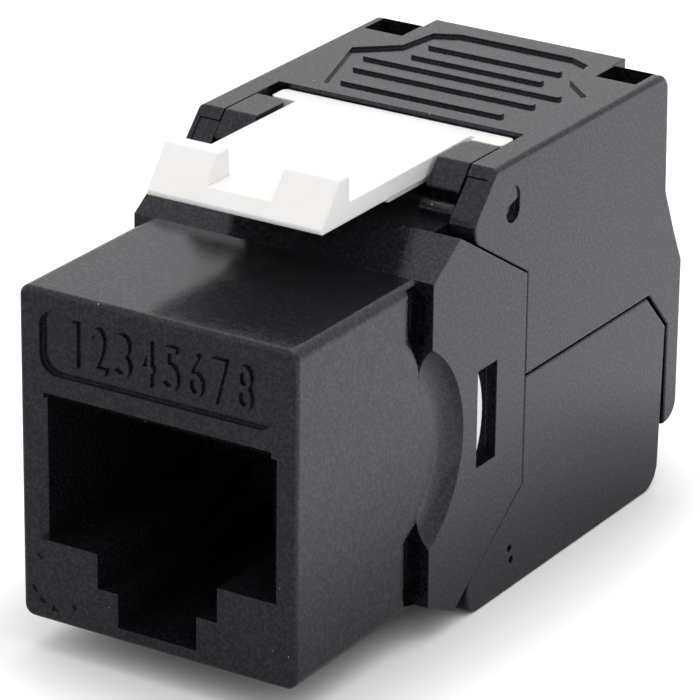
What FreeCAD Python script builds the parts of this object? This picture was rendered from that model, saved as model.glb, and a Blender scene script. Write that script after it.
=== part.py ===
# Keystone jack: 8P8C socket, white panel latch, two wire doors.
# Built from the front face (y = 0) and the nose underside (z = 0),
# then moved so that the origin is the bottom centre of the jack.
# X is across, Y runs from the socket to the cable end, Z is up. Millimetres.
import FreeCAD, Part
import math
import os
from FreeCAD import Vector as V

# ---------------------------------------------------------------- sizes
# cutters run this far past a face, and joined solids share this much
PAST = 1.0
LAP = 0.1
# nose, the part that goes through the wall plate
NOSE_H = 16.05
NOSE_TOP_R = 0.5
NOSE_LOW_R = 0.55
NOSE_LIP_R = 0.25
# flange and door skin
BODY_W = 16.0
FLANGE_STEP = 0.7
FLANGE_Y = 10.0
FLANGE_PEAK_Y = 12.25
FLANGE_PEAK_Z = 17.5
FLANGE_FOOT_Z = -0.75
SEAM_Y = 18.25
SEAM_HIGH_Z = 13.9
SEAM_LOW_Z = 3.45
SEAM_MID_Z = 8.8
SEAM_GAP = 0.08
NOSE_END = 0.95
SKIN_R = 0.25
SEAM_R = 0.1
# plate slots beside the flange
SLOT_Y = 9.0
SLOT_WALL = 0.6
SLOT_RIM = 0.3
SLOT_CROWN = 0.15
SLOT_STRIP = 0.45
SLOT_HIGH = 2.15
SLOT_HIGH_TIP = 3.85
SLOT_LOW = 3.85
SLOT_LOW_TIP = 4.4
SLOT_RIB_D = 0.35
SLOT_RIB_END = 0.5
SLOT_RIB_TIP = 1.0
# scoop that blends the nose side into the flange
SCOOP_Y = 7.19
SCOOP_Z = 8.05
SCOOP_R1 = 4.3
SCOOP_R2 = 5.62
# socket for the plug
NOSE_WALL = 1.3
PORT_LOW = 4.0
PORT_TOP = 10.87
KEY_W = 6.4
KEY_LOW = 2.3
KEY2_W = 4.2
KEY2_LOW = 0.65
PORT_DEPTH = 12.6
PORT_BACK = 0.6
PORT_CHAMFER = 0.3
# label field on the front
LABEL_EDGE = 1.1
LABEL_LOW = 12.05
LABEL_TOP = 15.2
LABEL_D = 0.3
LABEL_R = 0.9
# moulding mark on the front
MARK_EDGE = 1.95
MARK_Z = 2.1
MARK_R = 1.55
MARK_T = 0.3
MARK_D = 0.1
MARK_ARCS = [(112, 138), (199, 214), (226, 241), (256, 271), (305, 320)]
# side windows, and the snaps of the carrier that show in them
WIN_IN = 0.92
WIN_L = 1.62
WIN_Z = 5.73
WIN_H = 4.77
WIN_D = 0.55
# contacts
PITCH = 1.02
CONTACT_N = 8
CONTACT_W = 0.42
CONTACT_T = 0.3
EYE_IN = 0.45
EYE_Z = 8.3
EYE_R = 0.3
CONTACT_L = 8.3
CONTACT_SLOPE = 18.0
CONTACT_LIFT = 8.0
COMB_Y = 4.4
SLOT_PLAY = 0.08
# circuit board and wire blocks
PCB_T = 1.0
PCB_REAR = 27.2
PCB_EDGE = 0.5
BOARD_PLAY = 0.05
CARRIER_REAR = 18.0
CARRIER_LOW = 2.0
CARRIER_TOP = 13.6
CARRIER_WALL = 0.6
CARRIER_PLAY = 0.05
SNAP_BULGE = 0.36
SNAP_Z = 8.5
SNAP_R = 4.6
SNAP_SUNK = 0.02
SNAP_AHEAD = 0.1
BLOCK_PLAY = 0.35
BLOCK_Y = 19.6
BLOCK_L = 6.0
BLOCK_H = 3.3
IDC_PITCH = 3.1
IDC_W = 1.8
IDC_T = 0.4
IDC_H = 2.9
IDC_GAP = 0.45
IDC_BEVEL = 0.3
IDC_LEAD = 0.25
IDC_LEAD_H = 0.5
IDC_ROOT = 1.0
WIRE_W = 1.3
WIRE_D = 1.7
CAP_GAP = 0.35
CAP_SHORT = 1.0
CAP_RIB_H = 1.0
CAP_RIB_IN = 0.2
CAP_EDGE = 0.8
GUIDE_L = 2.0
GUIDE_T = 1.0
GUIDE_H = 8.6
GUIDE_GAP = 0.3
GUIDE_LAP = 0.9
SHELF_IN = 0.6
SHELF_T = 2.0
# doors
DOOR_TOP = 19.8
DOOR_LOW = -1.6
DOOR_WALL = 1.05
ROOF_T = 1.2
ARM_T = 1.35
ARM_PLAY = 0.1
ARM_RIM = 0.28
ARM_SUNK = 0.09
ARM_SUNK_Z0 = 18.2
ARM_SUNK_Z1 = 19.35
BROW_Y = 15.4
BROW_LOW_Y = 13.6
BROW_LOW_Z = 17.86
NOSE_ROUND = 0.946
CHIN_ROUND = 1.05
REAR_TOP_Y = 31.4
REAR_TOP_R = 0.8
REAR_MID_OUT = 0.2
REAR_MID_Z = 13.8
KNEE_RUN = 1.0
KNEE_DROP = 2.35
TAIL_OUT = 2.03
TAIL_Z = 9.75
TAIL_LOW = 1.4
TAIL_ROUND = 1.1
TAIL_T = 1.33
TAIL_IN_Z = 6.72
TAIL_SLANT = 1.95
TAIL_GAP = 0.2
LIP_W = 10.5
LIP_OUT = 1.0
LIP_R = 0.5
CABLE_R = 3.4
GATE_EDGE = 0.9
REAR_WALL = 1.3
HOLLOW_Y = 2.3
HEEL_LEAN = 0.3
HEEL_R = 1.3
LOW_CLEAR = 2.6
# hinge pins of the doors
PIN_R = 0.45
PIN_L = 1.0
PIN_ROOT = 0.4
PIN_PLAY = 0.05
# square holes in the roof
HOLE_EDGE = 0.5
HOLE_IN = 1.53
HOLE_W = 2.15
HOLE_L = 1.9
HOLE_D = 2.4
# grip on the roof: each corner of its outline, and the front corner of each rib,
# is given in from the grip's widest point and ahead of the roof's rear edge
GRIP_D = 0.16
GRIP_EDGE = 1.55
GRIP_PLAN = [(1.65, 10.4), (1.4, 9.65), (0, 5.25), (1.85, 3.6), (2.15, 1.3), (3.35, 0.7)]
GRIP_RIB_L = 0.42
GRIP_RIB_SUNK = 0.02
GRIP_RIB_R = 0.15
GRIP_RIBS = [(2.05, 9.65), (1.5, 7.7), (1.05, 6.05), (2.85, 4.6), (2.8, 2.95)]
# oval recess in the upper arm
OVAL_Y = 16.82
OVAL_Z = 17.7
OVAL_W = 1.22
OVAL_H = 1.76
OVAL_D = 0.28
OVAL_STEP_D = 0.08
OVAL_TILT = 16.0
# pair of small pits in the lower arm
DOTS = [(17.25, 0.5), (17.42, -0.13)]
DOT_R = 0.19
DOT_D = 0.25
# ears beside the latch
EAR_PLAY = 0.25
EAR_R = 0.18
EAR_CHAMFER = 0.35
EAR_REAR = 18.0
EAR_STEP = 0.5
EAR_STEP_H = 0.55
BAR_R = 0.4
BAR_Y = 14.25
BAR_Z = 17.8
EAR_LIFT = 0.85
# block between the arms, and the foot below it
SEAT_LIFT = 0.3
SEAT_LIP = 0.2
SEAT_T = 0.6
FOOT_STEP = 0.6
FOOT_T = 1.0
FOOT_RISE = 0.3
FOOT_LIFT = 0.5
FOOT_R = 0.9
FOOT_RUN = 0.4
FOOT_ROOT = 0.2
# panel latch
LATCH_W = 9.2
LATCH_TIP_Y = 6.05
LATCH_TOP = 19.72
LATCH_T = 0.85
LATCH_R = 0.13
WEDGE_IN = 1.7
WEDGE_FOOT = 19.12
WEDGE_Y1 = 7.5
WEDGE_Y2 = 8.4
WEDGE_TOP = 21.0
WEDGE_LEAN = 0.05
LATCH_DROP = 0.4
RIB_EDGE = 0.25
RIB_T = 0.65
RIB_Y = 12.0
RIB_END = 0.6
RIB_H = 0.35
TBAR_EDGE = 0.3
TBAR_END_R = 0.28
TBAR_Y = 19.3
TBAR_Z = 18.85
TBAR_R = 0.62
TBAR_TOP = 19.55
TBAR_PLAY = 0.06
WINDOW_REAR = 20.05
SWEEP_PLAY = 0.08

# ---------------------------------------------------------------- derived
HALF = BODY_W / 2
NOSE_X = HALF - FLANGE_STEP
ARM_IN = HALF - ARM_T
CORE_X = ARM_IN - ARM_PLAY
EAR_IN = LATCH_W / 2 + EAR_PLAY
PORT_W = 2 * (NOSE_X - NOSE_WALL)
BLOCK_W = 2 * (ARM_IN - BLOCK_PLAY)
PCB_W = BLOCK_W - 2 * PCB_EDGE
TBAR_W = 2 * (CORE_X - TBAR_EDGE)
MARK_X = MARK_EDGE - NOSE_X
CARRIER_Y = PORT_DEPTH + PORT_BACK
WIN_Y = CARRIER_Y + WIN_IN
HOLE_X = HALF - HOLE_EDGE - HOLE_W / 2
HOLE_Y = REAR_TOP_Y - HOLE_IN
REAR_MID_Y = REAR_TOP_Y + REAR_MID_OUT
LIP_Y = REAR_TOP_Y + LIP_OUT
TAIL_Y = REAR_TOP_Y + TAIL_OUT
TAIL_IN_Y = TAIL_Y - TAIL_T


# ---------------------------------------------------------------- tools
def box(x0, x1, y0, y1, z0, z1):
    return Part.makeBox(x1 - x0, y1 - y0, z1 - z0, V(x0, y0, z0))


def prism(points, x0, x1):
    """Side outline of (y, z) points, carried across from x0 to x1."""
    pts = [V(x0, y, z) for y, z in points]
    face = Part.Face(Part.makePolygon(pts + [pts[0]]))
    return face.extrude(V(x1 - x0, 0, 0))


def slab(points, z0, z1):
    """Plan outline of (x, y) points, carried up from z0 to z1."""
    pts = [V(x, y, z0) for x, y in points]
    face = Part.Face(Part.makePolygon(pts + [pts[0]]))
    return face.extrude(V(0, 0, z1 - z0))


def rod(y, z, r, x0, x1):
    return Part.makeCylinder(r, x1 - x0, V(x0, y, z), V(1, 0, 0))


def both(shape):
    """The shape and its mirror image in the plane x = 0."""
    return shape.fuse(shape.mirror(V(0, 0, 0), V(1, 0, 0)))


def join(first, *others):
    return first.fuse(list(others)).removeSplitter()


def round_across(shape, corners):
    """Round the edges that run along X through the given (y, z) corners."""
    for y, z, r in corners:
        found = []
        for edge in shape.Edges:
            a = edge.Vertexes[0].Point
            b = edge.Vertexes[-1].Point
            if abs(a.x - b.x) < 0.5:
                continue
            if math.hypot(a.y - y, a.z - z) < 1e-3 and math.hypot(b.y - y, b.z - z) < 1e-3:
                found.append(edge)
        shape = shape.makeFillet(r, found)
    return shape


def side_edges(shape, x):
    """Edges that lie in the two side planes at +x and -x."""
    found = []
    for edge in shape.Edges:
        b = edge.BoundBox
        if abs(abs(b.XMin) - x) < 1e-4 and b.XLength < 1e-4:
            found.append(edge)
    return found


def nearer(edges, path, other):
    """Those edges whose middle is nearer to one path of (y, z) points than to the other."""
    def off(edge, points):
        mid = edge.valueAt((edge.FirstParameter + edge.LastParameter) / 2)
        line = Part.makePolygon([V(mid.x, y, z) for y, z in points])
        return line.distToShape(Part.Vertex(mid))[0]

    return [edge for edge in edges if off(edge, path) < off(edge, other)]


def line_shift(p, q, d):
    """The line through p and q moved d to its left."""
    dy = q[0] - p[0]
    dz = q[1] - p[1]
    n = math.hypot(dy, dz)
    s = (-dz / n * d, dy / n * d)
    return (p[0] + s[0], p[1] + s[1]), (q[0] + s[0], q[1] + s[1])


def meet(a, b, c, d):
    """Where the line a-b crosses the line c-d."""
    r = (b[0] - a[0], b[1] - a[1])
    s = (d[0] - c[0], d[1] - c[1])
    k = r[0] * s[1] - r[1] * s[0]
    t = ((c[0] - a[0]) * s[1] - (c[1] - a[1]) * s[0]) / k
    return a[0] + t * r[0], a[1] + t * r[1]


def corner_centre(p, before, after, r):
    """Centre of a round of radius r in the corner p."""
    u = V(before[0] - p[0], before[1] - p[1], 0).normalize()
    w = V(after[0] - p[0], after[1] - p[1], 0).normalize()
    bis = (u + w).normalize()
    half = u.getAngle(w) / 2
    k = r / math.sin(half)
    return p[0] + bis.x * k, p[1] + bis.y * k


# ---------------------------------------------------------------- seams
# the flange's sloped edges, and the door edges one gap outside them
HIGH_A = (FLANGE_PEAK_Y, FLANGE_PEAK_Z)
HIGH_B = (SEAM_Y, SEAM_HIGH_Z)
LOW_A = (FLANGE_PEAK_Y, FLANGE_FOOT_Z)
LOW_B = (SEAM_Y, SEAM_LOW_Z)
HIGH_C, HIGH_D = line_shift(HIGH_A, HIGH_B, SEAM_GAP)
LOW_C, LOW_D = line_shift(LOW_A, LOW_B, -SEAM_GAP)
DOOR_Y = SEAM_Y + SEAM_GAP
BROW_A = (BROW_LOW_Y, BROW_LOW_Z)
BROW_B = (BROW_Y, DOOR_TOP)
NOSE_PT = meet(BROW_A, BROW_B, HIGH_C, HIGH_D)
HINGE_U = corner_centre(NOSE_PT, BROW_B, HIGH_D, NOSE_ROUND)
HIGH_E = meet(HIGH_C, HIGH_D, (DOOR_Y, 0), (DOOR_Y, 1))
EAR_CHIN = meet(BROW_A, BROW_B, (0, BAR_Z + EAR_LIFT), (1, BAR_Z + EAR_LIFT))
CHIN_PT = meet(LOW_C, LOW_D, (0, DOOR_LOW), (1, DOOR_LOW))
LOW_E = meet(LOW_C, LOW_D, (DOOR_Y, 0), (DOOR_Y, 1))
HINGE_L = corner_centre(CHIN_PT, LOW_D, (CHIN_PT[0] + PAST, DOOR_LOW), CHIN_ROUND)
SWEEP_R = math.hypot(TBAR_Y + TBAR_R - HINGE_U[0], TBAR_TOP - HINGE_U[1]) + SWEEP_PLAY
CONTACT_X = [(i - (CONTACT_N - 1) / 2) * PITCH for i in range(CONTACT_N)]
IDC_X = [(i - 1.5) * IDC_PITCH for i in range(4)]
PCB_Z0 = SEAM_MID_Z - PCB_T / 2
PCB_Z1 = SEAM_MID_Z + PCB_T / 2
BLOCK_U = PCB_Z1 + BLOCK_H
GATE_TOP = SEAM_MID_Z + CABLE_R + GATE_EDGE
BLOCK_D = PCB_Z0 - BLOCK_H
IDC_Y = BLOCK_Y + BLOCK_L / 2
EYE_Y = CARRIER_Y + EYE_IN
BOARD_Y = EYE_Y + EYE_R + SLOT_PLAY + 0.2
LIFTED = math.radians(CONTACT_SLOPE + CONTACT_LIFT)
COMB_TOP = EYE_Z + CONTACT_L * math.sin(LIFTED) + CONTACT_T
SLOT_TOP = EYE_Z + (EYE_Y - PORT_DEPTH) * math.tan(LIFTED) + CONTACT_T
HIGH_IN = line_shift(HIGH_A, HIGH_B, -CARRIER_WALL)
LOW_IN = line_shift(LOW_A, LOW_B, CARRIER_WALL)


# ---------------------------------------------------------------- housing
def seg(p, q):
    return Part.LineSegment(V(*p), V(*q)).toShape()


def arc(p, q, r):
    return Part.Arc(V(*p), V(*q), V(*r)).toShape()


def rounded_front():
    """Front outline of the nose, with its four corner radii."""
    x = NOSE_X
    t = NOSE_TOP_R
    b = NOSE_LOW_R
    z = NOSE_H
    k = 1 - math.sqrt(0.5)
    return Part.Face(Part.Wire([
        seg((-x + b, 0, 0), (x - b, 0, 0)),
        arc((x - b, 0, 0), (x - b * k, 0, b * k), (x, 0, b)),
        seg((x, 0, b), (x, 0, z - t)),
        arc((x, 0, z - t), (x - t * k, 0, z - t * k), (x - t, 0, z)),
        seg((x - t, 0, z), (-x + t, 0, z)),
        arc((-x + t, 0, z), (-x + t * k, 0, z - t * k), (-x, 0, z - t)),
        seg((-x, 0, z - t), (-x, 0, b)),
        arc((-x, 0, b), (-x + b * k, 0, b * k), (-x + b, 0, 0)),
    ]))


def build_nose():
    nose = rounded_front().extrude(V(0, SEAM_Y - NOSE_END, 0))
    front = [e for e in nose.Edges if e.BoundBox.YMax < 1e-4]
    nose = nose.makeFillet(NOSE_LIP_R, front)
    return nose.cut(outside_flange())


def outside_flange():
    """Room of the door arms: beside them the body stays inside the flange outline."""
    rear = SEAM_Y + PAST
    above = [HIGH_A, (HIGH_A[0], DOOR_TOP), (rear, DOOR_TOP), (rear, HIGH_B[1]), HIGH_B]
    below = [LOW_A, LOW_B, (rear, LOW_B[1]), (rear, DOOR_LOW), (LOW_A[0], DOOR_LOW)]
    return [both(prism(above, CORE_X, HALF + PAST)), both(prism(below, CORE_X, HALF + PAST))]


def build_flange():
    """Plate behind the nose; from its front it rises in a ramp to its peak."""
    return prism([(FLANGE_Y, SLOT_RIM), (FLANGE_Y, NOSE_H), HIGH_A, HIGH_B, LOW_B, LOW_A], -HALF, HALF)


def build_scoop():
    """Dish, turned about a line across the jack, that runs the nose side out to
    the flange: in section an arc that leaves the nose side without a crease."""
    drop = SCOOP_R2 - SCOOP_R1
    rise = HALF - NOSE_X
    r = (drop * drop + rise * rise) / (2 * rise)
    top = rise + 0.2

    def at(x):
        return SCOOP_R1 + math.sqrt(r * r - (r - x) ** 2)

    profile = Part.Wire([
        seg((NOSE_X, 0, 0), (NOSE_X, SCOOP_R1, 0)),
        arc((NOSE_X, SCOOP_R1, 0), (NOSE_X + rise / 2, at(rise / 2), 0), (NOSE_X + top, at(top), 0)),
        seg((NOSE_X + top, at(top), 0), (NOSE_X + top, 0, 0)),
        seg((NOSE_X + top, 0, 0), (NOSE_X, 0, 0)),
    ])
    dish = Part.Face(profile).revolve(V(0, 0, 0), V(1, 0, 0), 360)
    dish.translate(V(0, SCOOP_Y, SCOOP_Z))
    return dish


def carrier_outline(play):
    """Side outline of the carrier, or of its room with some play all round."""
    low = CARRIER_LOW - play
    top = CARRIER_TOP + play
    rear = CARRIER_REAR + play
    front = CARRIER_Y + CARRIER_PLAY - play
    high_a, high_b = line_shift(HIGH_IN[0], HIGH_IN[1], play)
    low_a, low_b = line_shift(LOW_IN[0], LOW_IN[1], -play)
    return [
        (front, low),
        meet(low_a, low_b, (0, low), (1, low)),
        meet(low_a, low_b, (rear, 0), (rear, 1)),
        meet(high_a, high_b, (rear, 0), (rear, 1)),
        meet(high_a, high_b, (0, top), (1, top)),
        (front, top),
    ]


def build_core():
    """Block between the door arms, with the seat of the latch bar behind it."""
    seat = TBAR_Z - TBAR_R + SEAT_LIFT
    side = [
        (FLANGE_PEAK_Y, FLANGE_PEAK_Z),
        (EAR_REAR + SEAT_LIP, FLANGE_PEAK_Z),
        (EAR_REAR + SEAT_LIP, seat),
        (WINDOW_REAR, seat),
        (WINDOW_REAR, SEAM_HIGH_Z + SEAT_T),
        (FLANGE_PEAK_Y, SEAM_HIGH_Z),
    ]
    return prism(side, -CORE_X, CORE_X)


def build_foot():
    """The block's lower counterpart, down to the lower hinge pins."""
    y, z = HINGE_L
    front = FLANGE_PEAK_Y - FOOT_STEP
    side = [
        (front, SEAM_LOW_Z - FOOT_T),
        (front, FLANGE_FOOT_Z + FOOT_RISE),
        (y - FOOT_R, DOOR_LOW + FOOT_LIFT),
        (y + FOOT_R, DOOR_LOW + FOOT_LIFT),
        (y + FOOT_R + FOOT_RUN, z + FOOT_R),
        (SEAM_Y, SEAM_LOW_Z - FOOT_T),
        (SEAM_Y, SEAM_LOW_Z + FOOT_ROOT),
        (FLANGE_PEAK_Y, SEAM_LOW_Z + FOOT_ROOT),
    ]
    return prism(side, -CORE_X, CORE_X)


def build_ear():
    """Guard beside the latch, with a round bar under its front."""
    base = FLANGE_PEAK_Z - LAP
    side = [
        BROW_B,
        (EAR_REAR, DOOR_TOP),
        (EAR_REAR, base),
        (BAR_Y, base),
        (BAR_Y, BAR_Z),
        (BROW_Y - EAR_STEP, BAR_Z),
        (BROW_Y - EAR_STEP, BAR_Z + EAR_STEP_H),
        EAR_CHIN,
    ]
    ear = round_across(prism(side, EAR_IN, CORE_X), [(*EAR_CHIN, EAR_R), (*BROW_B, EAR_R)])
    x = EAR_IN - PAST
    c = EAR_CHAMFER + PAST
    corner = slab([(x, EAR_REAR - c), (x + c + PAST, EAR_REAR + PAST), (x, EAR_REAR + PAST)],
                  FLANGE_PEAK_Z, DOOR_TOP + PAST)
    return ear.cut(corner).fuse(rod(BAR_Y, BAR_Z, BAR_R, EAR_IN, CORE_X))


def hinge_pins(hinge):
    """Pin at each side, from the block into the bore of the door arm."""
    return both(rod(*hinge, PIN_R, CORE_X - PIN_ROOT, ARM_IN + PIN_L))


def socket_room():
    """Stepped opening for the plug, with its chamfered mouth."""
    w = PORT_W / 2
    c = PORT_CHAMFER
    port = box(-w, w, -PAST, PORT_DEPTH, PORT_LOW, PORT_TOP)
    key = box(-KEY_W / 2, KEY_W / 2, -PAST, PORT_DEPTH, KEY_LOW, PORT_LOW + PAST)
    key2 = box(-KEY2_W / 2, KEY2_W / 2, -PAST, PORT_DEPTH, KEY2_LOW, KEY_LOW + PAST)
    rim = prism([(-c, PORT_LOW), (-c, PORT_TOP + 2 * c), (c, PORT_TOP), (c, PORT_LOW)], -w, w)
    jamb = slab([(w - PAST, -c), (w + 2 * c, -c), (w, c), (w - PAST, c)], PORT_LOW, PORT_TOP)
    return [port, key, key2, rim, both(jamb)]


def label_field():
    w = NOSE_X - LABEL_EDGE
    field = box(-w, w, -PAST, LABEL_D, LABEL_LOW, LABEL_TOP)
    upright = [e for e in field.Edges if e.BoundBox.YLength > PAST]
    return field.makeFillet(LABEL_R, upright)


def ring_piece(start, end):
    """One shallow piece of the ring mark, between two angles on the front."""
    def at(r, angle):
        turn = math.radians(angle)
        return (MARK_X + r * math.cos(turn), -PAST, MARK_Z + r * math.sin(turn))

    mid = (start + end) / 2
    outer, inner = MARK_R, MARK_R - MARK_T
    face = Part.Face(Part.Wire([
        arc(at(outer, start), at(outer, mid), at(outer, end)),
        seg(at(outer, end), at(inner, end)),
        arc(at(inner, end), at(inner, mid), at(inner, start)),
        seg(at(inner, start), at(outer, start)),
    ]))
    return face.extrude(V(0, PAST + MARK_D, 0))


def plate_slots():
    """Slots that hold the edge of the wall plate. A shallow recess behind each
    leaves an unbroken strip of flange at the outer side."""
    deep = PORT_W / 2 + SLOT_WALL
    top = NOSE_H - SLOT_CROWN
    high = [(SLOT_Y, top), (FLANGE_Y, top), (FLANGE_Y, top - SLOT_HIGH_TIP), (SLOT_Y, top - SLOT_HIGH)]
    low = [(SLOT_Y, 2 * SLOT_RIM), (FLANGE_Y, SLOT_RIM), (FLANGE_Y, SLOT_LOW_TIP), (SLOT_Y, SLOT_LOW)]
    strip = HALF - SLOT_STRIP
    rear = FLANGE_Y + SLOT_RIB_D
    return [
        both(prism(high, deep, HALF + PAST)),
        both(prism(low, deep, HALF + PAST)),
        both(box(deep, strip, FLANGE_Y - LAP, rear, high[2][1] + SLOT_RIB_TIP, high[1][1] - SLOT_RIB_END)),
        both(box(deep, strip, FLANGE_Y - LAP, rear, low[1][1] + SLOT_RIB_END, low[2][1] - SLOT_RIB_TIP)),
    ]


def carrier_room():
    """Room of the white carrier, open to the rear."""
    outline = carrier_outline(CARRIER_PLAY)
    low, high = outline[2], outline[3]
    mouth = [low, high, (SEAM_Y + PAST, high[1]), (SEAM_Y + PAST, low[1])]
    return prism(outline, -CORE_X, CORE_X).fuse(prism(mouth, -CORE_X, CORE_X))


def side_windows():
    """Blind windows in the flange, each with a slit for a snap of the carrier."""
    win = box(HALF - WIN_D, HALF + PAST, WIN_Y, WIN_Y + WIN_L, WIN_Z, WIN_Z + WIN_H)
    slit = box(CORE_X - LAP, HALF + PAST, WIN_Y - SNAP_AHEAD, WIN_Y + SNAP_BULGE + 2 * CARRIER_PLAY,
               WIN_Z, WIN_Z + WIN_H)
    return [both(win), both(slit)]


def contact_room():
    """Combs in the roof of the socket, and gates through its rear wall."""
    w = CONTACT_W / 2 + SLOT_PLAY
    z = EYE_Z - EYE_R - SLOT_PLAY
    cuts = []
    for x in CONTACT_X:
        cuts.append(box(x - w, x + w, COMB_Y, PORT_DEPTH, PORT_TOP - LAP, COMB_TOP))
        cuts.append(box(x - w, x + w, PORT_DEPTH - LAP, CARRIER_Y + LAP, z, SLOT_TOP))
    return cuts


def build_housing():
    """Black front body: nose, flange, and the block that carries the doors."""
    body = join(build_nose(), build_flange(), build_core(), build_foot(), both(build_ear()),
                hinge_pins(HINGE_U), hinge_pins(HINGE_L))
    # round path of the door noses about the upper pins
    path = both(rod(*HINGE_U, NOSE_ROUND + SEAM_GAP, CORE_X, HALF + PAST))
    body = body.cut(path.cut(hinge_pins(HINGE_U)))
    body = body.cut(socket_room() + [label_field()])
    body = body.cut([ring_piece(a, b) for a, b in MARK_ARCS])
    body = body.cut(both(build_scoop()))
    body = body.cut(plate_slots())
    body = body.cut([carrier_room()] + side_windows())
    body = body.cut(contact_room())
    reach = TBAR_W / 2 + TBAR_PLAY
    return body.cut(rod(TBAR_Y, TBAR_Z, TBAR_R + TBAR_PLAY, -reach, reach))


# ---------------------------------------------------------------- latch
def build_latch():
    """White panel latch: a blade with two wedges, and a round bar it flexes on."""
    w = LATCH_W / 2
    low = LATCH_TOP - LATCH_T
    tip = LATCH_TIP_Y
    foot = (tip, WEDGE_FOOT)
    crest = (WEDGE_Y1, WEDGE_TOP)
    bar_y0 = TBAR_Y - TBAR_R
    bar_y1 = TBAR_Y + TBAR_R
    plate = prism([(tip, low), foot, meet(foot, crest, (0, LATCH_TOP), (1, LATCH_TOP)),
                   (bar_y0, LATCH_TOP), (bar_y0 + LATCH_DROP, TBAR_TOP), (TBAR_Y, TBAR_TOP),
                   (TBAR_Y, low)], -w, w)
    wedge = prism([(tip, low), foot, crest, (WEDGE_Y2, WEDGE_TOP), (WEDGE_Y2 + WEDGE_LEAN, low)],
                  WEDGE_IN, w)
    blade = join(plate, both(wedge))
    blade = blade.makeFillet(LATCH_R, [e for e in blade.Edges if is_soft(e)])
    rib = box(w - RIB_EDGE - RIB_T, w - RIB_EDGE, RIB_Y, EAR_REAR - RIB_END, low - RIB_H, low + LAP)
    bar = rod(TBAR_Y, TBAR_Z, TBAR_R, -TBAR_W / 2, TBAR_W / 2)
    cap = box(-TBAR_W / 2, TBAR_W / 2, bar_y0, bar_y1, TBAR_Z, TBAR_TOP)
    plan = box(-TBAR_W / 2, TBAR_W / 2, bar_y0, bar_y1, TBAR_Z - TBAR_R, TBAR_TOP)
    plan = plan.makeFillet(TBAR_END_R, [e for e in plan.Edges if e.BoundBox.ZLength > TBAR_R])
    return join(blade, both(rib), bar.fuse(cap).common(plan))


def is_soft(edge):
    """Moulded edges of the latch blade: the tip, the wedge tops and the sides."""
    b = edge.BoundBox
    near = 1e-4
    if b.XLength > LAP:
        flat = b.YLength < near and b.ZLength < near
        at_tip = abs(b.YMin - LATCH_TIP_Y) < near and abs(b.ZMin - LATCH_TOP + LATCH_T) < near
        return flat and (at_tip or abs(b.ZMin - WEDGE_TOP) < near)
    outer = abs(abs(b.XMin) - LATCH_W / 2) < near
    inner = abs(abs(b.XMin) - WEDGE_IN) < near
    ahead = b.YMax < TBAR_Y - TBAR_R - PAST
    return b.XLength < near and (outer and ahead or inner and b.ZMax > LATCH_TOP + LAP)


# ---------------------------------------------------------------- doors
def grip_outline():
    """Plan of the recessed grip, left half then right half."""
    half = [(HALF - GRIP_EDGE - short, REAR_TOP_Y - ahead) for short, ahead in GRIP_PLAN]
    return [(-x, y) for x, y in half] + half[::-1]


def grip_rib(short, ahead):
    """Low flat rib across the grip, with rounded corners."""
    half = HALF - GRIP_EDGE - short
    y = REAR_TOP_Y - ahead
    z = DOOR_TOP - GRIP_D
    rib = box(-half, half, y, y + GRIP_RIB_L, z - LAP, DOOR_TOP - GRIP_RIB_SUNK)
    return rib.makeFillet(GRIP_RIB_R, [e for e in rib.Edges if e.BoundBox.ZLength > LAP])


def rear_lip():
    """Lip at the rear of the roof, between the two cheeks."""
    lip = box(-LIP_W / 2, LIP_W / 2, REAR_TOP_Y - REAR_TOP_R, LIP_Y, GATE_TOP, DOOR_TOP)
    rear = [e for e in lip.Edges if e.BoundBox.YMin > LIP_Y - LAP and e.BoundBox.ZMax > DOOR_TOP - LAP]
    return lip.makeFillet(LIP_R, rear)


def arm_panels():
    """Sunk panel on the sloped front of each upper arm."""
    a, b = line_shift(BROW_A, BROW_B, -ARM_SUNK)
    side = [meet(a, b, (0, ARM_SUNK_Z0), (1, ARM_SUNK_Z0)), meet(a, b, (0, ARM_SUNK_Z1), (1, ARM_SUNK_Z1)),
            (BROW_LOW_Y - PAST, ARM_SUNK_Z1 + ARM_SUNK), (BROW_LOW_Y - PAST, ARM_SUNK_Z0)]
    return both(prism(side, ARM_IN - PAST, HALF - ARM_RIM))


def oval():
    """Oval recess in the arm: above a slanted line through its centre it is shallow."""
    r = OVAL_W / 2
    run = (OVAL_H - OVAL_W) / 2
    x0 = HALF - OVAL_D
    y0, y1 = OVAL_Y - r, OVAL_Y + r
    top = rod(OVAL_Y, OVAL_Z + run, r, x0, HALF + PAST)
    low = rod(OVAL_Y, OVAL_Z - run, r, x0, HALF + PAST)
    mid = box(x0, HALF + PAST, y0, y1, OVAL_Z - run, OVAL_Z + run)
    reach = r + PAST
    rise = reach * math.tan(math.radians(OVAL_TILT))
    step = prism([(OVAL_Y - reach, OVAL_Z - rise), (OVAL_Y + reach, OVAL_Z + rise),
                  (OVAL_Y + reach, OVAL_Z + reach), (OVAL_Y - reach, OVAL_Z + reach)],
                 x0 - LAP, HALF - OVAL_STEP_D)
    return join(top, low, mid).cut(step)


def bores(hinge):
    return both(rod(*hinge, PIN_R + PIN_PLAY, ARM_IN - PAST, ARM_IN + PIN_L + PIN_PLAY))


def cable_way():
    return Part.makeCylinder(CABLE_R, TAIL_Y - TAIL_IN_Y + 2 * REAR_WALL + PAST,
                             V(0, REAR_TOP_Y - 2 * REAR_WALL, SEAM_MID_Z), V(0, 1, 0))


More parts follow.
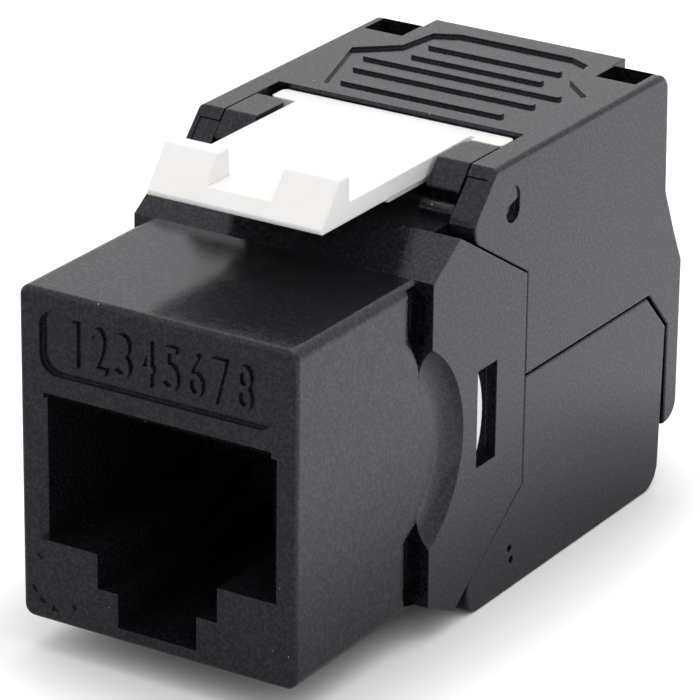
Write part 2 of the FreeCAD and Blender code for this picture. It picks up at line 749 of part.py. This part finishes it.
def build_upper_door():
    z = SEAM_MID_Z + SEAM_GAP / 2
    skin = [
        BROW_B,
        (REAR_TOP_Y, DOOR_TOP),
        (REAR_MID_Y, REAR_MID_Z),
        (REAR_MID_Y + KNEE_RUN, REAR_MID_Z - KNEE_DROP),
        (TAIL_Y, TAIL_Z),
        (TAIL_Y, TAIL_LOW),
        (TAIL_IN_Y, TAIL_LOW),
    ]
    seam = [
        (TAIL_IN_Y, TAIL_LOW),
        (TAIL_IN_Y, TAIL_IN_Z),
        (TAIL_IN_Y - TAIL_SLANT, z),
        (DOOR_Y, z),
        HIGH_E,
        NOSE_PT,
        BROW_B,
    ]
    door = round_across(prism(skin + seam[1:-1], -HALF, HALF), [
        (*NOSE_PT, NOSE_ROUND), (TAIL_Y, TAIL_LOW, TAIL_ROUND), (REAR_TOP_Y, DOOR_TOP, REAR_TOP_R)])
    door = door.makeFillet(SKIN_R, nearer(side_edges(door, HALF), skin, seam))
    door = door.makeFillet(SEAM_R, nearer(side_edges(door, HALF), seam, skin))
    door = join(door, rear_lip())
    # hollow behind the front wall, open between the arms
    x = HALF - DOOR_WALL
    low = TAIL_LOW - PAST
    inner = DOOR_Y + HOLLOW_Y
    roof = DOOR_TOP - ROOF_T
    room = box(-x, x, inner, REAR_TOP_Y - REAR_WALL, low, roof)
    front = box(-ARM_IN, ARM_IN, NOSE_PT[0] - PAST, WINDOW_REAR, low, DOOR_TOP + PAST)
    under = box(-ARM_IN, ARM_IN, WINDOW_REAR - PAST, inner + LAP, low, roof)
    turn = rod(*HINGE_U, SWEEP_R, -ARM_IN, ARM_IN)
    # way of the cable, and the gap between the two tail cheeks
    w = CABLE_R + GATE_EDGE
    gate = box(-w, w, REAR_TOP_Y, TAIL_Y + PAST, low, GATE_TOP)
    door = door.cut([room, front, under, turn, cable_way(), gate, arm_panels(), bores(HINGE_U)])
    hole = box(HOLE_X - HOLE_W / 2, HOLE_X + HOLE_W / 2, HOLE_Y - HOLE_L / 2, HOLE_Y + HOLE_L / 2,
               DOOR_TOP - HOLE_D, DOOR_TOP + PAST)
    door = door.cut([both(hole), slab(grip_outline(), DOOR_TOP - GRIP_D, DOOR_TOP + PAST)])
    door = join(door, *[grip_rib(short, ahead) for short, ahead in GRIP_RIBS])
    return door.cut(both(oval()))


def build_lower_door():
    top = SEAM_MID_Z - SEAM_GAP / 2
    heel = TAIL_IN_Y - TAIL_GAP
    side = [
        CHIN_PT,
        LOW_E,
        (DOOR_Y, top),
        (heel - TAIL_SLANT, top),
        (heel, TAIL_IN_Z),
        (heel - HEEL_LEAN, DOOR_LOW),
    ]
    door = round_across(prism(side, -HALF, HALF), [
        (*CHIN_PT, CHIN_ROUND), (heel - HEEL_LEAN, DOOR_LOW, HEEL_R)])
    door = door.makeFillet(SEAM_R, side_edges(door, HALF))
    x = HALF - DOOR_WALL
    floor = DOOR_LOW + ROOF_T
    inner = DOOR_Y + HOLLOW_Y
    clear = HINGE_L[0] + LOW_CLEAR
    room = box(-x, x, inner, REAR_TOP_Y - REAR_WALL, floor, top + PAST)
    front = box(-ARM_IN, ARM_IN, CHIN_PT[0] - PAST, clear, DOOR_LOW - PAST, top + PAST)
    under = box(-ARM_IN, ARM_IN, clear - PAST, inner + LAP, floor, top + PAST)
    dots = [both(rod(y, z, DOT_R, HALF - DOT_D, HALF + PAST)) for y, z in DOTS]
    return door.cut([room, front, under, cable_way(), bores(HINGE_L)] + dots)


# ---------------------------------------------------------------- inside
def contact(x):
    """Sprung contact: an eye held in the carrier, a blade up to the comb."""
    a = x - CONTACT_W / 2
    b = x + CONTACT_W / 2
    half = CONTACT_T / 2
    blade = box(a, b, EYE_Y - CONTACT_L, EYE_Y, EYE_Z - half, EYE_Z + half)
    arm = join(blade, rod(EYE_Y - CONTACT_L, EYE_Z, half, a, b))
    arm.rotate(V(0, EYE_Y, EYE_Z), V(1, 0, 0), -CONTACT_SLOPE)
    return join(rod(EYE_Y, EYE_Z, EYE_R, a, b), arm)


def build_carrier():
    """White insert behind the socket: it holds the contacts and the board."""
    x = CORE_X - CARRIER_PLAY
    gap = 2 * CARRIER_PLAY
    snap = rod(WIN_Y + SNAP_BULGE - SNAP_R, SNAP_Z, SNAP_R, x - LAP, HALF - SNAP_SUNK)
    keep = box(x - LAP, HALF, WIN_Y - SNAP_AHEAD + CARRIER_PLAY, WIN_Y + WIN_L,
               WIN_Z + gap, WIN_Z + WIN_H - gap)
    body = join(prism(carrier_outline(0), -x, x), both(snap.common(keep)))
    w = PCB_W / 2 + BOARD_PLAY
    cuts = [box(-w, w, BOARD_Y - BOARD_PLAY, CARRIER_REAR + PAST, PCB_Z0 - BOARD_PLAY, PCB_Z1 + BOARD_PLAY)]
    half = CONTACT_W / 2 + SLOT_PLAY
    r = EYE_R + SLOT_PLAY
    for cx in CONTACT_X:
        cuts.append(rod(EYE_Y, EYE_Z, r, cx - half, cx + half))
        cuts.append(box(cx - half, cx + half, CARRIER_Y, EYE_Y, EYE_Z - r, SLOT_TOP))
    return body.cut(cuts)


def build_board():
    w = PCB_W / 2
    return box(-w, w, BOARD_Y, PCB_REAR, PCB_Z0, PCB_Z1)


def wire_block(up):
    """Block with four wire channels and a slot for each terminal."""
    w = BLOCK_W / 2
    if up:
        z0, z1 = PCB_Z1 + BOARD_PLAY, BLOCK_U
        c0, c1 = BLOCK_U - WIRE_D, BLOCK_U + PAST
    else:
        z0, z1 = BLOCK_D, PCB_Z0 - BOARD_PLAY
        c0, c1 = BLOCK_D - PAST, BLOCK_D + WIRE_D
    block = box(-w, w, BLOCK_Y, BLOCK_Y + BLOCK_L, z0, z1)
    slot_x = IDC_W / 2 + BOARD_PLAY
    slot_y = IDC_T / 2 + BOARD_PLAY
    cuts = []
    for x in IDC_X:
        cuts.append(box(x - WIRE_W / 2, x + WIRE_W / 2, BLOCK_Y - PAST, BLOCK_Y + BLOCK_L + PAST, c0, c1))
        cuts.append(box(x - slot_x, x + slot_x, IDC_Y - slot_y, IDC_Y + slot_y, z0 - PAST, z1 + PAST))
    return block.cut(cuts)


def terminal(x, up):
    """Forked blade that cuts through the wire's insulation."""
    s = 1 if up else -1
    z = PCB_Z1 if up else PCB_Z0
    w = IDC_W / 2
    g = IDC_GAP / 2
    h = IDC_H
    c = IDC_BEVEL
    right = [(w, 0), (w, h - c), (w - c, h), (g + IDC_LEAD, h), (g, h - IDC_LEAD_H), (g, IDC_ROOT)]
    pts = right + [(-px, pz) for px, pz in reversed(right)]
    ring = [V(x + px, IDC_Y - IDC_T / 2, z + s * pz) for px, pz in pts]
    return Part.Face(Part.makePolygon(ring + [ring[0]])).extrude(V(0, IDC_T, 0))


def wire_cap(up):
    """Pusher held in the door: its four ribs press the wires down."""
    w = BLOCK_W / 2
    y0 = BLOCK_Y + CAP_SHORT
    y1 = BLOCK_Y + BLOCK_L
    if up:
        base, root, foot = DOOR_TOP - ROOF_T, BLOCK_U + CAP_GAP + CAP_RIB_H, BLOCK_U + CAP_GAP
    else:
        base, root, foot = DOOR_LOW + ROOF_T, BLOCK_D - CAP_GAP - CAP_RIB_H, BLOCK_D - CAP_GAP
    rib = WIRE_W / 2 - CAP_RIB_IN
    spans = [(x - rib, x + rib) for x in IDC_X] + [(-w, CAP_EDGE - w), (w - CAP_EDGE, w)]
    ribs = [box(a, b, y0, y1, *sorted([root, foot])) for a, b in spans]
    return join(box(-w, w, y0, y1, *sorted([base, root])), *ribs)


def build_guide():
    """Cross that keeps the four pairs apart at the cable end."""
    y0 = BLOCK_Y + BLOCK_L + GUIDE_GAP
    y1 = PCB_REAR + GUIDE_L
    t = GUIDE_T / 2
    h = GUIDE_H / 2
    w = BLOCK_W / 2 - SHELF_IN
    s = SHELF_T / 2
    b = PCB_W / 2 + BOARD_PLAY
    wall = box(-t, t, y0, y1, SEAM_MID_Z - h, SEAM_MID_Z + h)
    shelf = box(-w, w, PCB_REAR - GUIDE_LAP, y1, SEAM_MID_Z - s, SEAM_MID_Z + s)
    slot = box(-b, b, y0 - PAST, PCB_REAR + BOARD_PLAY, PCB_Z0 - BOARD_PLAY, PCB_Z1 + BOARD_PLAY)
    return join(wall, shelf).cut(slot)


# ---------------------------------------------------------------- output
def main():
    os.makedirs("parts", exist_ok=True)
    parts = {
        "front_housing": build_housing(),
        "panel_latch": build_latch(),
        "upper_door": build_upper_door(),
        "lower_door": build_lower_door(),
        "contact_carrier": build_carrier(),
        "circuit_board": build_board(),
        "wire_block_upper": wire_block(True),
        "wire_block_lower": wire_block(False),
        "wire_cap_upper": wire_cap(True),
        "wire_cap_lower": wire_cap(False),
        "pair_guide": build_guide(),
    }
    for i, x in enumerate(CONTACT_X):
        parts["contact_%d" % (i + 1)] = contact(x)
    for i, x in enumerate(IDC_X):
        parts["idc_terminal_%d" % (i + 1)] = terminal(x, True)
        parts["idc_terminal_%d" % (i + 5)] = terminal(x, False)
    shift = V(0, -TAIL_Y / 2, -DOOR_LOW)
    whole = None
    for name, shape in parts.items():
        shape.translate(shift)
        good = shape.isValid() and len(shape.Solids) == 1
        print(name, "solids", len(shape.Solids), "valid", shape.isValid(), "volume %.2f" % shape.Volume)
        if not good:
            print("   CHECK", name)
        shape.exportStep("parts/%s.step" % name)
        b = shape.BoundBox
        if whole is None:
            whole = b
        else:
            whole.add(b)
    print("box", whole)
    for name, p in (("upper hinge", HINGE_U), ("lower hinge", HINGE_L), ("latch", (TBAR_Y, TBAR_Z)),
                    ("contact eye", (EYE_Y, EYE_Z))):
        print(name, "y %.4f z %.4f" % (p[0] + shift.y, p[1] + shift.z))


main()
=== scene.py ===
import math

import bpy
import numpy as np
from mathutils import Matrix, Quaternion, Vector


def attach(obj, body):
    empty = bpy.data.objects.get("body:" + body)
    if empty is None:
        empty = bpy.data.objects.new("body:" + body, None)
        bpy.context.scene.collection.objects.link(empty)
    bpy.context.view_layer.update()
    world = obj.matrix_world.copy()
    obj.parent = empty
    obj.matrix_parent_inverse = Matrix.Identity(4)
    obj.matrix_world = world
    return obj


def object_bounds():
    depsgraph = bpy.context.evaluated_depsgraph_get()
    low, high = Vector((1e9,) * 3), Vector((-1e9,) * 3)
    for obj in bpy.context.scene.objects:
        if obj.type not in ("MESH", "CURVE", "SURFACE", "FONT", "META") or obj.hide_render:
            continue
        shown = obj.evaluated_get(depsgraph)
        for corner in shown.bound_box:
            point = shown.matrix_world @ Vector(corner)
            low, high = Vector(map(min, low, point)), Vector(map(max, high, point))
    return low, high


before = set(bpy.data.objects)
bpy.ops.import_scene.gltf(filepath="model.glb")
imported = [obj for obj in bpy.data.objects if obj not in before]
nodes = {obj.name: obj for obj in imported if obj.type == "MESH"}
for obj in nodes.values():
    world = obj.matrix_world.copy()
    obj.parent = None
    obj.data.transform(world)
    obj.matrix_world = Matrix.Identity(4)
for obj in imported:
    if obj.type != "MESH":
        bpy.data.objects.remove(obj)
cad_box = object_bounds()
low, high = cad_box
MM = 0.001

# ------------------------------------------------------------------ black body
# The housing, both doors and the pair guide are moulded in one black plastic.
# The tool was spark-eroded, so the skin has a very fine grain that glints on its
# tips, and handling has left a little pale dust.
BLACK = (0.0038, 0.0031, 0.0048)
BLACK_PALER = (0.0054, 0.0046, 0.0068)
CLOUD_PER_MM = 0.35
CLOUD_DETAIL = 3.0
CLOUD_TONE_EDGES = (0.35, 0.70)
CLOUD_ROUGH_EDGES = (0.20, 0.80)
SHEEN_LEVEL = 0.36
SHEEN_TINT = (1.0, 0.935, 1.14)
ROUGH_LEAST = 0.07
ROUGH_OF_CLOUDS = 0.05
ROUGH_OF_GRAIN = 0.08
GRAIN_PER_MM = 6.5
GRAIN_DEEP = 0.004 * MM
GRAIN_DETAIL = 2.0
GRAIN_HARSH = 0.6
GRAIN_TONE = (0.0120, 0.0110, 0.0136)
GRAIN_TONE_EDGES = (0.36, 0.70)
GRAIN_GLINT = 0.20
GRAIN_GLINT_EDGES = (0.42, 0.62)
GLINT_ROUGH = 0.28
DUST = (0.34, 0.34, 0.36)
# spots to a millimetre, their size in that spacing, and the share that is there
COARSE_DUST = (1.3, 0.045, 0.10)
FINE_DUST = (3.1, 0.07, 0.03)
EDGE_ROUND = 0.07 * MM
EDGE_SAMPLES = 4


class Wire:
    """A shader socket on which sums can be written; each one adds a Math node."""

    def __init__(self, owner, socket):
        self.owner = owner
        self.socket = socket

    def _sum(self, operation, first, second):
        return self.owner.node("Math", {"operation": operation}, {0: first, 1: second})

    def __add__(self, other):
        return self._sum("ADD", self, other)

    def __sub__(self, other):
        return self._sum("SUBTRACT", self, other)

    def __rsub__(self, other):
        return self._sum("SUBTRACT", other, self)

    def __mul__(self, other):
        return self._sum("MULTIPLY", self, other)

    def __lt__(self, other):
        return self._sum("LESS_THAN", self, other)

    __radd__ = __add__
    __rmul__ = __mul__


class Nodes:
    """A node tree being written, with one method that adds any node."""

    def __init__(self, tree):
        self.tree = tree

    def put(self, socket, value):
        """Links a wire to a socket, or sets the socket's own value."""
        if isinstance(value, Wire):
            self.tree.links.new(value.socket, socket)
        elif isinstance(value, tuple) and len(value) == 3 and len(socket.default_value) == 4:
            socket.default_value = (*value, 1.0)
        else:
            socket.default_value = value

    def node(self, kind, settings, sockets, out=0):
        """Adds a node of a kind, gives it its settings, then its values or links."""
        made = self.tree.nodes.new("ShaderNode" + kind)
        for key, value in settings.items():
            setattr(made, key, value)
        for key, value in sockets.items():
            self.put(made.inputs[key], value)
        return Wire(self, made.outputs[out])


class Finish(Nodes):
    """A material being written, with the patterns that the jack's finishes share."""

    def __init__(self, name):
        self.material = bpy.data.materials.new(name)
        self.material.use_nodes = True
        super().__init__(self.material.node_tree)
        self.shader = self.tree.nodes["Principled BSDF"]

    def place(self, per_mm):
        """Object coordinates, counted in 1 / per_mm millimetres."""
        here = self.node("TexCoord", {}, {}, "Object")
        return self.node("VectorMath", {"operation": "SCALE"}, {0: here, "Scale": per_mm / MM})

    def noise(self, per_mm, detail=2.0, roughness=0.5):
        """Soft noise from 0 to 1, with per_mm of its cells in a millimetre."""
        where = self.place(per_mm)
        sockets = {"Vector": where, "Scale": 1.0, "Detail": detail, "Roughness": roughness}
        return self.node("TexNoise", {}, sockets)

    def step(self, value, first, last):
        """0 below first, 1 above last, and a smooth rise between."""
        sockets = {"Value": value, "From Min": first, "From Max": last}
        return self.node("MapRange", {"interpolation_type": "SMOOTHSTEP"}, sockets)

    def mix(self, share, first, second):
        """A colour that goes from first to second as share goes from 0 to 1."""
        # a Mix node's colours are its sockets 6 and 7, and come out of its third
        sockets = {0: share, 6: first, 7: second}
        return self.node("Mix", {"data_type": "RGBA"}, sockets, 2)

    def specks(self, per_mm, size, share):
        """Small spots: cells' centres, kept only in a share of the cells."""
        where = self.place(per_mm)
        sockets = {"Vector": where, "Scale": 1.0}
        near = self.node("TexVoronoi", {}, sockets, "Distance")
        colour = self.node("TexVoronoi", {}, sockets, "Color")
        pick = self.node("SeparateColor", {}, {0: colour})
        return (near < size) * (pick < share)

    def soft_edges(self, radius):
        """The normal that edges rounded to a radius would have."""
        return self.node("Bevel", {"samples": EDGE_SAMPLES}, {"Radius": radius})

    def bump(self, height, depth, under=None):
        """The normal of a height pattern of a depth, laid over another normal."""
        sockets = {"Height": height, "Strength": 1.0, "Distance": depth}
        if under is not None:
            sockets["Normal"] = under
        return self.node("Bump", {}, sockets)

    def wear(self, **values):
        """Sets the shader's own sockets by name, and gives back the material."""
        for key, value in values.items():
            self.put(self.shader.inputs[key.replace("_", " ")], value)
        return self.material


def dress(names, material):
    """Gives the solids of these names one material."""
    for name in names:
        nodes[name].data.materials.clear()
        nodes[name].data.materials.append(material)


def black_plastic():
    """Black with a cloudy tone, a fine grain that is paler on its tips, and sparse dust."""
    f = Finish("satin_black_plastic")
    cloud = f.noise(CLOUD_PER_MM, CLOUD_DETAIL)
    grain = f.noise(GRAIN_PER_MM, GRAIN_DETAIL, GRAIN_HARSH)
    dust = f.specks(*COARSE_DUST) + f.specks(*FINE_DUST)
    skin = f.mix(f.step(cloud, *CLOUD_TONE_EDGES), BLACK, BLACK_PALER)
    grainy = f.mix(f.step(grain, *GRAIN_TONE_EDGES), skin, GRAIN_TONE)
    clouded = f.step(cloud, *CLOUD_ROUGH_EDGES) * ROUGH_OF_CLOUDS
    return f.wear(
        Base_Color=f.mix(dust, grainy, DUST),
        Roughness=clouded + grain * ROUGH_OF_GRAIN + ROUGH_LEAST,
        Coat_Weight=f.step(grain, *GRAIN_GLINT_EDGES) * GRAIN_GLINT,
        Coat_Roughness=GLINT_ROUGH,
        Normal=f.bump(grain, GRAIN_DEEP, f.soft_edges(EDGE_ROUND)),
        Specular_IOR_Level=SHEEN_LEVEL,
        Specular_Tint=SHEEN_TINT,
    )


black = black_plastic()
dress(("front_housing", "upper_door", "lower_door", "pair_guide"), black)

# ------------------------------------------------------------------ front label
# Raised plain numbers in the recessed field over the socket count the eight
# contacts. They are moulded with the housing, and stay below its front face.
LABEL_DIGITS = "12345678"
LABEL_Z = 14.2 * MM
FIELD_DEEP = 0.30 * MM
DIGIT_PITCH = 1.27 * MM
DIGIT_HIGH = 2.15 * MM
DIGIT_WIDE = 0.78 * MM
ONE_WIDE = 0.32 * MM
DIGIT_RAISED = 0.16 * MM
TYPE_THICK = 0.5
TYPE_STEPS = 6


def digit_mesh(text, name):
    """Outline type with a rim, as a mesh in its own plane; any thickness will do here."""
    curve = bpy.data.curves.new(name, "FONT")
    curve.body = text
    curve.align_x = "CENTER"
    curve.extrude = TYPE_THICK
    curve.resolution_u = TYPE_STEPS
    carrier = bpy.data.objects.new(name, curve)
    bpy.context.scene.collection.objects.link(carrier)
    bpy.context.view_layer.update()
    mesh = bpy.data.meshes.new_from_object(carrier)
    bpy.data.objects.remove(carrier)
    return mesh


def place_digit(mesh, x, bottom, front, height, width, thick):
    """Stretches type from its own box to a width, height and thickness, stands it
    up, and puts its middle at x, its foot at bottom and its back on the front."""
    co = np.empty(len(mesh.vertices) * 3, np.float32)
    mesh.vertices.foreach_get("co", co)
    co = co.reshape(-1, 3)
    lo, hi = co.min(0), co.max(0)
    u = (co[:, 0] - (lo[0] + hi[0]) / 2) / (hi[0] - lo[0]) * width
    v = (co[:, 1] - lo[1]) / (hi[1] - lo[1]) * height
    w = (co[:, 2] - lo[2]) / (hi[2] - lo[2]) * thick
    out = np.stack([x + u, front - w, bottom + v], 1)
    mesh.vertices.foreach_set("co", out.astype(np.float32).ravel())
    mesh.update()


floor_of_field = low.y + FIELD_DEEP
for i, digit in enumerate(LABEL_DIGITS):
    x = (i - (len(LABEL_DIGITS) - 1) / 2) * DIGIT_PITCH
    width = ONE_WIDE if digit == "1" else DIGIT_WIDE
    mesh = digit_mesh(digit, "label_digit_" + digit)
    place_digit(mesh, x, LABEL_Z, floor_of_field, DIGIT_HIGH, width, DIGIT_RAISED)
    mesh.materials.clear()
    mesh.materials.append(black)
    piece = bpy.data.objects.new("label_digit_" + digit, mesh)
    bpy.context.scene.collection.objects.link(piece)
    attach(piece, "jack")

# ------------------------------------------------------------------ white latch
# The panel latch and the contact carrier are moulded in bright white plastic.
# It is smooth and half matt, with the faintest clouding.
WHITE = (0.87, 0.855, 0.84)
WHITE_SHADE = (0.83, 0.812, 0.795)
WHITE_CLOUD_PER_MM = 0.5
WHITE_CLOUD_EDGES = (0.3, 0.7)
WHITE_ROUGH = 0.36
WHITE_ROUGH_MORE = 0.08
WHITE_GRAIN_PER_MM = 6.0
WHITE_GRAIN_DEEP = 0.002 * MM
WHITE_EDGE_ROUND = 0.12 * MM


def white_plastic():
    """White that turns a little greyer and rougher in soft clouds."""
    f = Finish("white_plastic")
    cloud = f.noise(WHITE_CLOUD_PER_MM, CLOUD_DETAIL)
    grain = f.noise(WHITE_GRAIN_PER_MM)
    return f.wear(
        Base_Color=f.mix(f.step(cloud, *WHITE_CLOUD_EDGES), WHITE, WHITE_SHADE),
        Roughness=cloud * WHITE_ROUGH_MORE + WHITE_ROUGH,
        Normal=f.bump(grain, WHITE_GRAIN_DEEP, f.soft_edges(WHITE_EDGE_ROUND)),
    )


dress(("panel_latch", "contact_carrier"), white_plastic())

# ------------------------------------------------------------------ wire parts
# The wire blocks and the pushers in the doors are matt dark grey; the blades
# between them are tinned, and the board is green under its solder mask. The
# socket's eight contacts are gold-plated wire.
GREY = (0.045, 0.045, 0.05)
GREY_PALER = (0.06, 0.06, 0.064)
GREY_CLOUD_PER_MM = 0.6
GREY_GRAIN_PER_MM = 7.0
GREY_ROUGH = 0.5
GREEN = (0.006, 0.07, 0.03)
GREEN_PALER = (0.01, 0.10, 0.045)
WEAVE_PER_MM = 2.5
MASK_ROUGH = 0.3
ROUGH_MORE = 0.1
MATT_GRAIN_DEEP = 0.004 * MM
GOLD = (0.85, 0.62, 0.28)
GOLD_DULLER = (0.76, 0.52, 0.22)
GOLD_ROUGH = 0.2
TIN = (0.78, 0.77, 0.75)
TIN_DULLER = (0.66, 0.65, 0.64)
TIN_ROUGH = 0.28
METAL_CLOUD_PER_MM = 1.6
BRUSH_PER_MM = 14.0
BRUSH_ROUGH = 0.15
BRUSH_DEEP = 0.001 * MM
WIRES = range(1, 9)


def grey_plastic():
    """Dark grey with a cloudy tone, matt in a fine grain."""
    f = Finish("dark_grey_plastic")
    grain = f.noise(GREY_GRAIN_PER_MM)
    return f.wear(
        Base_Color=f.mix(f.noise(GREY_CLOUD_PER_MM, CLOUD_DETAIL), GREY, GREY_PALER),
        Roughness=grain * ROUGH_MORE + GREY_ROUGH,
        Normal=f.bump(grain, MATT_GRAIN_DEEP),
    )


def solder_mask():
    """Green that is paler, duller and higher where one noise is high."""
    f = Finish("green_board")
    weave = f.noise(WEAVE_PER_MM, CLOUD_DETAIL)
    return f.wear(
        Base_Color=f.mix(weave, GREEN, GREEN_PALER),
        Roughness=weave * ROUGH_MORE + MASK_ROUGH,
        Normal=f.bump(weave, MATT_GRAIN_DEEP),
    )


def plated(name, bright, duller, rough):
    """Bare metal with a cloudy tone, rougher in a very fine grain."""
    f = Finish(name)
    brush = f.noise(BRUSH_PER_MM)
    return f.wear(
        Base_Color=f.mix(f.noise(METAL_CLOUD_PER_MM, CLOUD_DETAIL), bright, duller),
        Metallic=1.0,
        Roughness=brush * BRUSH_ROUGH + rough,
        Normal=f.bump(brush, BRUSH_DEEP),
    )


grey_pieces = ("wire_block_upper", "wire_block_lower", "wire_cap_upper", "wire_cap_lower")
dress(grey_pieces, grey_plastic())
dress(("circuit_board",), solder_mask())
gold = plated("gold_plating", GOLD, GOLD_DULLER, GOLD_ROUGH)
tin = plated("tin_plating", TIN, TIN_DULLER, TIN_ROUGH)
dress([f"contact_{i}" for i in WIRES], gold)
dress([f"idc_terminal_{i}" for i in WIRES], tin)

# ------------------------------------------------------------------ setting
# A pale table runs on to a white ground under an even light tent, brighter
# overhead than at its foot, with one broad lamp above. Away from the jack the
# table itself glows up to white to the camera; near the jack this is held off,
# a painted shade at its foot. To the gloss it carries painted shade at the jack's
# foot and in front, and a painted pool of light behind and to the right.
TABLE_HALF = 0.6
TABLE = (0.86, 0.86, 0.87)
TABLE_SHADE = (0.84, 0.84, 0.85)
TABLE_CLOUD_PER_MM = 0.02
TABLE_ROUGH = 0.6
TABLE_SHEEN = 0.2
# strength of the table's white glow to the camera, and the reach around the jack within which it
# is held off as painted shade
GLOW = 0.22
PAINTED_SHADE_REACH = 6.0 * MM
# painted light that the table gives off to the gloss
PAINTED_GLOSS_LIGHT = 0.36
# painted shade that the table shows to the gloss at the jack's foot and in front, and how far
# from the jack it reaches
PAINTED_GLOSS_SHADE = (0.50, 0.50, 0.51)
PAINTED_GLOSS_SHADE_REACH = 14.0 * MM
# direction and swing over which the painted light grows, brighter behind and to the right
PAINTED_LIGHT_SIDE = (0.8, 0.6, 0.0)
PAINTED_LIGHT_SWING = 20.0 * MM
TALLEST = 10.0
LAMP_SIZE = 0.50
LAMP_WATTS = 0.7
LAMP_PLACE = (0.03, 0.10, 0.50)
TENT_FOOT = 0.66
TENT_TOP = 1.2
PURE_WHITE = (1.0, 1.0, 1.0)


def pale_table_painted_shade_and_light():
    """White to the camera but for painted shade near the jack, pale to the light, and to the
    gloss
    shows painted light and painted shade: the painted light is a smooth rise along one
    direction, times a smooth rise away from the jack."""
    f = Finish("pale_table_painted_shade_and_light")
    seen = f.node("LightPath", {}, {}, "Is Camera Ray")
    gloss = f.node("LightPath", {}, {}, "Is Glossy Ray")
    # how far a point of the table lies outside the jack's own rectangle
    here = f.node("TexCoord", {}, {}, "Object")
    side = f.node("VectorMath", {"operation": "ABSOLUTE"}, {0: here})
    corner = (high.x, high.y, TALLEST)
    past = f.node("VectorMath", {"operation": "SUBTRACT"}, {0: side, 1: corner})
    out = f.node("VectorMath", {"operation": "MAXIMUM"}, {0: past, 1: (0.0, 0.0, 0.0)})
    away = f.node("VectorMath", {"operation": "LENGTH"}, {0: out}, "Value")
    along = f.node("VectorMath", {"operation": "DOT_PRODUCT"}, {0: here, 1: PAINTED_LIGHT_SIDE}, "Value")
    # share of painted light: a rise toward behind and right, times a rise away from the jack,
    # with painted shade left near it
    painted_lit = f.step(along, -PAINTED_LIGHT_SWING, PAINTED_LIGHT_SWING) * f.step(away, 0.0, PAINTED_GLOSS_SHADE_REACH)
    tone = f.mix(f.noise(TABLE_CLOUD_PER_MM), TABLE, TABLE_SHADE)
    # to the gloss the table's colour turns to painted shade where the painted light is missing
    tone_with_painted_shade = f.mix(gloss * (1.0 - painted_lit), tone, PAINTED_GLOSS_SHADE)
    f.wear(
        Base_Color=f.mix(seen, tone_with_painted_shade, PURE_WHITE),
        Roughness=TABLE_ROUGH,
        Specular_IOR_Level=TABLE_SHEEN,
    )
    # white to the camera, but held off near the jack as a painted shade at its foot
    pale = seen * f.step(away, 0.0, PAINTED_SHADE_REACH) * GLOW
    # the table's emission: white to the camera, and painted light to the gloss
    painted_glow = f.node("Emission", {}, {"Strength": pale + gloss * painted_lit * PAINTED_GLOSS_LIGHT})
    both = f.node("AddShader", {}, {0: Wire(f, f.shader.outputs[0]), 1: painted_glow})
    f.put(f.tree.nodes["Material Output"].inputs["Surface"], both)
    return f.material


corners = np.array([(-1, -1), (1, -1), (1, 1), (-1, 1)]) * TABLE_HALF
mesh = bpy.data.meshes.new("table_top")
mesh.from_pydata([(x, y, low.z) for x, y in corners], [], [(0, 1, 2, 3)])
mesh.materials.append(pale_table_painted_shade_and_light())
table = bpy.data.objects.new("table_top", mesh)
bpy.context.scene.collection.objects.link(table)

lamp = bpy.data.objects.new("lamp_above", bpy.data.lights.new("lamp_above", "AREA"))
lamp.data.size = LAMP_SIZE
lamp.data.energy = LAMP_WATTS
bpy.context.scene.collection.objects.link(lamp)
lamp.location = LAMP_PLACE
lamp.rotation_euler = ((low + high) / 2 - lamp.location).to_track_quat("-Z", "Y").to_euler()

world = bpy.data.worlds.new("light_tent")
bpy.context.scene.world = world
world.use_nodes = True
# the tent is white to the camera and the gloss, and its light grows with height
tent = Nodes(world.node_tree)
seen = tent.node("LightPath", {}, {}, "Is Camera Ray")
gloss = tent.node("LightPath", {}, {}, "Is Glossy Ray")
shown = tent.node("Math", {"operation": "MAXIMUM"}, {0: seen, 1: gloss})
up = tent.node("SeparateXYZ", {}, {0: tent.node("TexCoord", {}, {}, "Generated")}, "Z")
lift = tent.node("MapRange", {}, {"Value": up, "To Min": TENT_FOOT, "To Max": TENT_TOP})
level = tent.node("Mix", {}, {"Factor": shown, "A": lift, "B": 1.0})
background = world.node_tree.nodes["Background"]
tent.put(background.inputs["Strength"], level)
tent.put(background.inputs["Color"], PURE_WHITE)

# ------------------------------------------------------------------ camera
# A long lens looks down on the front and the right side.
AZIMUTH = math.radians(31.93)
ELEVATION = math.radians(22.36)
ROLL = math.radians(0.645)
FIELD = math.radians(8.4839)
DISTANCE = 219.14 * MM
AIM = np.array([-0.19, -0.49, 10.55]) * MM
NEAREST = 10.0 * MM

camera = bpy.data.objects.new("camera", bpy.data.cameras.new("camera"))
bpy.context.scene.collection.objects.link(camera)
camera.data.angle = FIELD
camera.data.clip_start = NEAREST
back = np.array([
    math.sin(AZIMUTH) * math.cos(ELEVATION),
    -math.cos(AZIMUTH) * math.cos(ELEVATION),
    math.sin(ELEVATION),
])
camera.location = AIM + back * DISTANCE
camera.rotation_euler = (math.pi / 2 - ELEVATION, 0.0, AZIMUTH)
bpy.context.view_layer.update()
turned = camera.matrix_world.to_quaternion()
camera.rotation_euler = (turned @ Quaternion((0, 0, 1), ROLL)).to_euler()
bpy.context.scene.camera = camera
bpy.context.scene.view_settings.view_transform = "Standard"
